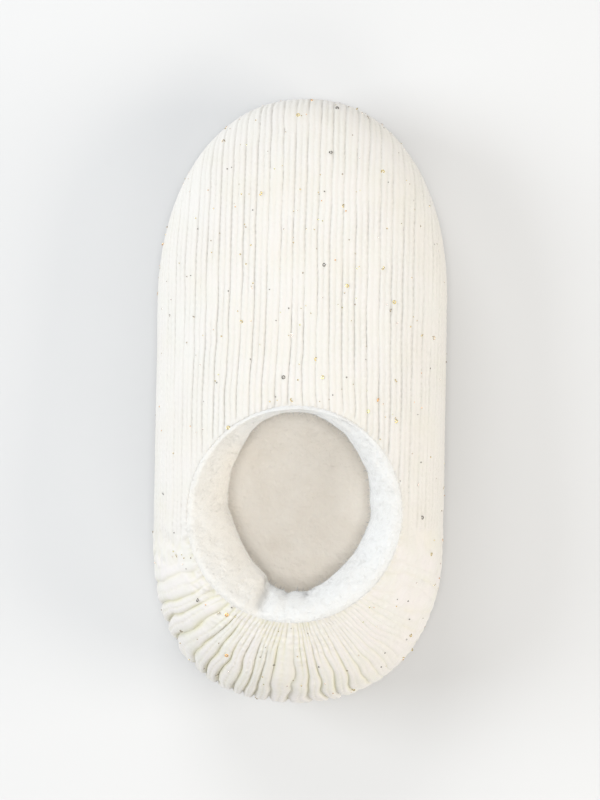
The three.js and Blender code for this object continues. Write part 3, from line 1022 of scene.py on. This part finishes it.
def pick_on_grid(points, count, rng):
    """Random places on a closed grid of points, evenly by area, as indices."""
    across = np.linalg.norm(np.roll(points, -1, axis=0) - points, axis=2)
    along = np.linalg.norm(np.diff(points, axis=1, append=points[:, -1:]), axis=2)
    weight = (across * along).ravel()
    return rng.choice(len(weight), count, p=weight / weight.sum())


def grow_hairs(name, rows, normals, deep, count, untidy, lengths, material, slot, rng, seed):
    """Closed tapered hairs, each bent once, all over a grid of points, as one joined mesh."""
    chosen = pick_on_grid(rows, count, rng)
    normals = normals.reshape(-1, 3)[chosen]
    scatter = rng.normal(scale=hair_scatter, size=normals.shape)
    roots = rows.reshape(-1, 3)[chosen] + scatter - hair_root * normals
    directions = unit(normals + untidy * rng.normal(size=normals.shape))
    half = rng.uniform(*lengths, count)[:, None] * 0.5
    bends = np.random.default_rng(seed)
    side = unit(np.cross(directions, unit(bends.normal(size=(count, 3)))))
    other = np.cross(directions, side)
    lean = unit(bends.normal(size=(count, 3)) + np.array([0, 0, 0.3]))
    middle = roots + directions * half
    points = []
    for centre, size in ((roots, 1.0), (middle, 0.75)):
        for angle in np.radians([0, 120, 240]):
            points.append(centre + (side * math.cos(angle) + other * math.sin(angle)) * hair_radius * size)
    points.append(middle + unit(directions + lean * hair_bend) * half)
    start = len(points) * np.arange(count)[:, None]
    faces = []
    for face in ([0, 1, 4, 3], [1, 2, 5, 4], [2, 0, 3, 5], [3, 4, 6], [4, 5, 6], [5, 3, 6], [2, 1, 0]):
        faces += (start + face).tolist()
    make_object(name, np.stack(points, axis=1), faces, material,
                values={"deep": np.repeat(deep.ravel()[chosen], len(points))})


def make_pile(lining, insole_rows, plush, footbed):
    rng = np.random.default_rng(5)
    grow_hairs("plush_pile_hairs", *lining, plush_hairs, 0.6, (1.0, 2.6), plush, "plush", rng, 6)
    seen = insole_rows[:, 6:]
    upright = np.broadcast_to([0.0, 0.0, 1.0], seen.shape)
    grow_hairs("insole_pile_hairs", seen, upright, np.zeros(seen.shape[:2]), insole_hairs, 0.7, (0.9, 2.0),
               footbed, "footbed", rng, 7)


# The camera stands where the photo's does, above the space beside the shoe.
camera_place = np.array([62.0, -2.0, 1200.0])
camera_target = (0, 0, 0.03)
mm_per_pixel = 0.664
photo_scale = mm_per_pixel / (camera_place[2] - widest_height)
photo_middle = (300, 400)

# Sequins that show one by one: pixel across and down, kind
seen_sequins = [
    (221, 314, "dark"), (235, 327, "gold"), (257, 316, "gold"), (196, 383, "dark"), (201, 397, "gold"),
    (220, 383, "gold"), (248, 404, "lime"), (265, 410, "gold"), (254, 397, "orange"), (162, 414, "gold"),
    (155, 430, "gold"), (122, 455, "dark"), (130, 493, "gold"), (147, 497, "dark"), (156, 528, "bronze"),
    (161, 529, "orange"), (161, 554, "orange"), (281, 469, "dark"), (288, 359, "bronze"), (264, 337, "gold"),
    (297, 348, "bronze"), (170, 349, "gold"), (201, 357, "pink"), (182, 270, "gold"), (225, 245, "dark"),
    (257, 257, "gold"), (233, 278, "gold"), (229, 218, "dark"), (205, 222, "gold"), (159, 238, "bronze"),
    (216, 372, "gold"), (143, 520, "dark"), (190, 560, "dark"), (274, 541, "gold"), (265, 385, "gold"),
]
sequin_tints = {"dark": 0.0, "bronze": 0.2, "gold": 0.42, "orange": 0.6, "lime": 0.8, "pink": 0.98}
sequin_radius = 0.78
sequin_hole = 0.45
sequin_thickness = 0.14
sequin_lift = 0.12
sequin_tilt = 0.35

# Small sequins over a stretch of pixels across and down, and others on the steep sides and back
small_sequins = 320
small_shares = [0.2, 0.2, 0.3, 0.1, 0.08, 0.12]
small_radii = (0.18, 0.36)
small_across, small_down = (118, 296), (214, 580)
side_sequins = 36
side_steepness = 0.4
side_lowest = 8
side_kinds = ["bronze", "gold", "orange", "pink"]
side_radii = [0.28, 0.36, sequin_radius]
side_shares = [0.5, 0.3, 0.2]


def add_sequin(place, normal, radius, sides, rng, points, faces):
    """A flat disc with a hole, lifted and tilted from the knit. Returns its number of points."""
    centre = place + normal * sequin_lift
    normal = unit(normal + rng.normal(scale=sequin_tilt, size=3))
    side = unit(np.cross(normal, rng.normal(size=3)))
    other = np.cross(normal, side)
    turn = np.arange(sides) * 2 * math.pi / sides
    ring = np.cos(turn)[:, None] * side + np.sin(turn)[:, None] * other
    rings = np.array([centre + ring * radius * size + normal * sequin_thickness * lift
                      for size, lift in ((1, -0.5), (1, 0.5), (sequin_hole, 0.5), (sequin_hole, -0.5))])
    faces.extend(grid_faces(rings, True, True, len(points))[:, [0, 3, 2, 1]].tolist())
    points.extend(rings.reshape(-1, 3).tolist())
    return 4 * sides


def make_sequins(outsides):
    """Sequins sewn on the knit: those seen one by one, small ones, and those where the knit is steep."""
    rng = np.random.default_rng(17)
    vertices, quads = [], []
    for outside in outsides:
        quads += grid_faces(outside, start=len(vertices)).tolist()
        vertices += outside.reshape(-1, 3).tolist()
    tree = BVHTree.FromPolygons(vertices, quads)
    points, faces, tints = [], [], []

    def place_one(across, down, kind, radius, sides):
        ray = Vector(((across - photo_middle[0]) * photo_scale, (photo_middle[1] - down) * photo_scale, -1))
        hit, normal, _, _ = tree.ray_cast(Vector(camera_place), ray)
        if hit is None:
            return
        normal = np.array(normal) * np.sign(normal[2] or 1)
        made = add_sequin(np.array(hit), normal, radius, sides, rng, points, faces)
        tints.extend([sequin_tints[kind]] * made)

    for across, down, kind in seen_sequins:
        place_one(across, down, kind, sequin_radius, 12)
    for _ in range(small_sequins):
        across, down = rng.uniform(*small_across), rng.uniform(*small_down)
        kind = rng.choice(list(sequin_tints), p=small_shares)
        place_one(across, down, kind, rng.uniform(*small_radii), 7)
    for outside, side in zip(outsides, (1, 1, -1, -1)):
        normals = grid_normals(outside) * side
        steep = np.flatnonzero((normals[..., 2] < side_steepness) & (outside[..., 2] > side_lowest))
        for chosen in rng.choice(steep, side_sequins):
            place, normal = outside.reshape(-1, 3)[chosen], normals.reshape(-1, 3)[chosen]
            radius = rng.choice(side_radii, p=side_shares)
            made = add_sequin(place, normal, radius, 9, rng, points, faces)
            tints.extend([sequin_tints[rng.choice(side_kinds)]] * made)
    make_object("sequins", np.array(points), faces, sequin_material(),
                values={"tint": np.array(tints)})


# Studio

def make_stage():
    mesh = bpy.data.meshes.new("floor")
    far = 3.0
    mesh.from_pydata([(-far, -far, 0), (far, -far, 0), (far, far, 0), (-far, far, 0)], [], [(0, 1, 2, 3)])
    floor = link_object("floor", mesh)
    nodes = Nodes("floor_paper")
    paper = nodes.mix(nodes.noise(60, 3), grey(0.485), grey(0.495))
    mesh.materials.append(nodes.finish({"Base Color": paper, "Roughness": 0.9, "Specular IOR Level": 0.1}))
    world = bpy.data.worlds.new("studio")
    world.use_nodes = True
    background = world.node_tree.nodes["Background"]
    background.inputs["Color"].default_value = (0.97, 0.985, 1.0, 1)
    background.inputs["Strength"].default_value = 0.41
    scene.world = world
    scene.view_settings.view_transform = "Standard"


def add_light(name, place, size, power, colour):
    data = bpy.data.lights.new(name, "AREA")
    set_values(data, {"shape": "SQUARE", "size": size, "energy": power, "color": colour})
    light = link_object(name, data)
    light.location = place
    light.rotation_mode = "QUATERNION"
    light.rotation_quaternion = (-Vector(place)).to_track_quat("-Z", "Y")


def make_lights():
    add_light("overhead_softbox", (0.12, -0.04, 2.4), 0.5, 26.5, (1.0, 0.995, 0.985))
    add_light("toe_fill", (-0.4, 1.6, 1.0), 1.0, 18.0, (0.97, 0.985, 1.0))
    add_light("heel_fill", (0.4, -1.5, 1.0), 1.0, 10.5, (1.0, 0.97, 0.91))
    add_light("left_window", (-1.8, 0.2, 1.0), 1.2, 38.0, (0.91, 0.955, 1.0))
    add_light("right_fill", (1.6, -0.3, 0.8), 1.0, 24.5, (1.0, 0.945, 0.86))


def make_camera():
    data = bpy.data.cameras.new("camera")
    set_values(data, {"sensor_width": 36, "lens": 130, "clip_start": 0.05, "clip_end": 20})
    camera = link_object("camera", data)
    place = Vector(camera_place * MM)
    camera.location = place
    camera.rotation_mode = "QUATERNION"
    back = (place - Vector(camera_target)).normalized()
    right = Vector((0, 1, 0)).cross(back).normalized()
    camera.rotation_quaternion = Matrix((right, back.cross(right), back)).transposed().to_quaternion()
    scene.camera = camera


make_camera()
make_stage()
make_lights()
knit_outsides = make_knit()
plush = plush_material("long_plush", (plush_white, slope_shade_cream, low_slope_lightened_cream, footbed_lightened_pale),
                       (plush_warm, slope_shade_warm, low_slope_lightened_warm, footbed_lightened_beige), 55)
footbed = plush_material("footbed_plush", [footbed_lightened_pale] * 4, [footbed_lightened_beige] * 4, 70)
lining = make_lining(plush)
insole_rows = make_insole(footbed)
make_outsole(sole_material())
make_pile(lining, insole_rows, plush, footbed)
make_sequins(knit_outsides)
